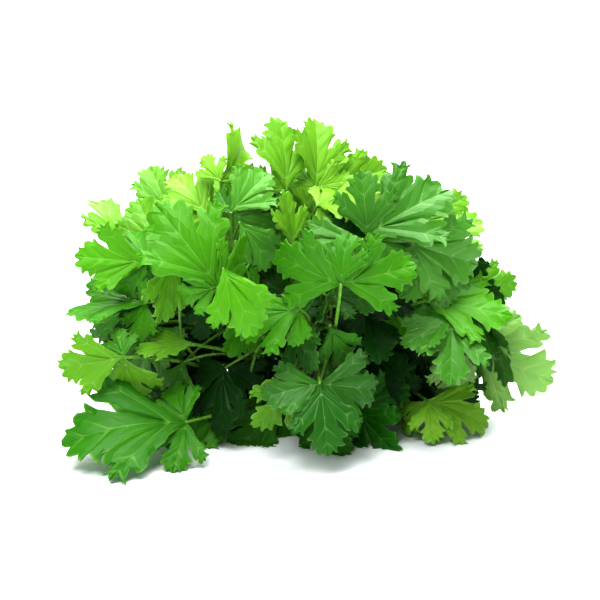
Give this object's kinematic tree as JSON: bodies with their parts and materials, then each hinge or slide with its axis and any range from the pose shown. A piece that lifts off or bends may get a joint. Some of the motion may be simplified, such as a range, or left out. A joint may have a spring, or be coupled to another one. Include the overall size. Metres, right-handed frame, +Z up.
{
  "type": "parsley bunch",
  "caption": "Loose bunch of cut flat-leaf parsley lying on its side: a dome of lobed, toothed leaflets from pale to deep green, over a sheaf of thin bare stalks.",
  "frame": {"origin": "on the surface, under the middle of the whole bunch", "axes": "+Z up from the surface; +Y back along the stalks, from the leafy head towards the cut ends; +X to the right as seen from the front of the head"},
  "size_m": [0.2397, 0.2813, 0.1512],
  "materials": {
    "light_leaf": "satin, thin and translucent young yellow-green leaf",
    "fresh_leaf": "satin, thin bright green leaf",
    "mature_leaf": "satin, slightly waxy bluish-green leaf",
    "deep_leaf": "satin, dark green inner leaf"
  },
  "bodies": {
    "root": {"leafy_stem_01": "fresh_leaf", "leafy_stem_02": "light_leaf", "leafy_stem_03": "fresh_leaf", "leafy_stem_04": "light_leaf", "leafy_stem_05": "fresh_leaf", "leafy_stem_06": "light_leaf", "leafy_stem_07": "mature_leaf", "leafy_stem_08": "light_leaf", "leafy_stem_09": "light_leaf", "leafy_stem_10": "light_leaf", "leafy_stem_11": "light_leaf", "leafy_stem_12": "mature_leaf", "leafy_stem_13": "light_leaf", "leafy_stem_14": "mature_leaf", "leafy_stem_15": "fresh_leaf", "leafy_stem_16": "fresh_leaf", "leafy_stem_17": "fresh_leaf", "leafy_stem_18": "deep_leaf", "leafy_stem_19": "light_leaf", "leafy_stem_20": "light_leaf", "leafy_stem_21": "mature_leaf", "leafy_stem_22": "light_leaf", "leafy_stem_23": "light_leaf", "leafy_stem_24": "deep_leaf", "leafy_stem_25": "deep_leaf", "leafy_stem_26": "deep_leaf", "leafy_stem_27": "deep_leaf", "leafy_stem_28": "mature_leaf", "leafy_stem_29": "mature_leaf", "leafy_stem_30": "deep_leaf", "leafy_stem_31": "fresh_leaf", "leafy_stem_32": "deep_leaf", "leafy_stem_33": "mature_leaf", "leafy_stem_34": "deep_leaf", "leafy_stem_35": "fresh_leaf", "leafy_stem_36": "deep_leaf", "leafy_stem_37": "mature_leaf", "leafy_stem_38": "deep_leaf", "leafy_stem_39": "fresh_leaf", "leafy_stem_40": "deep_leaf", "leafy_stem_41": "mature_leaf", "leafy_stem_42": "deep_leaf"}
  },
  "joints": []
}
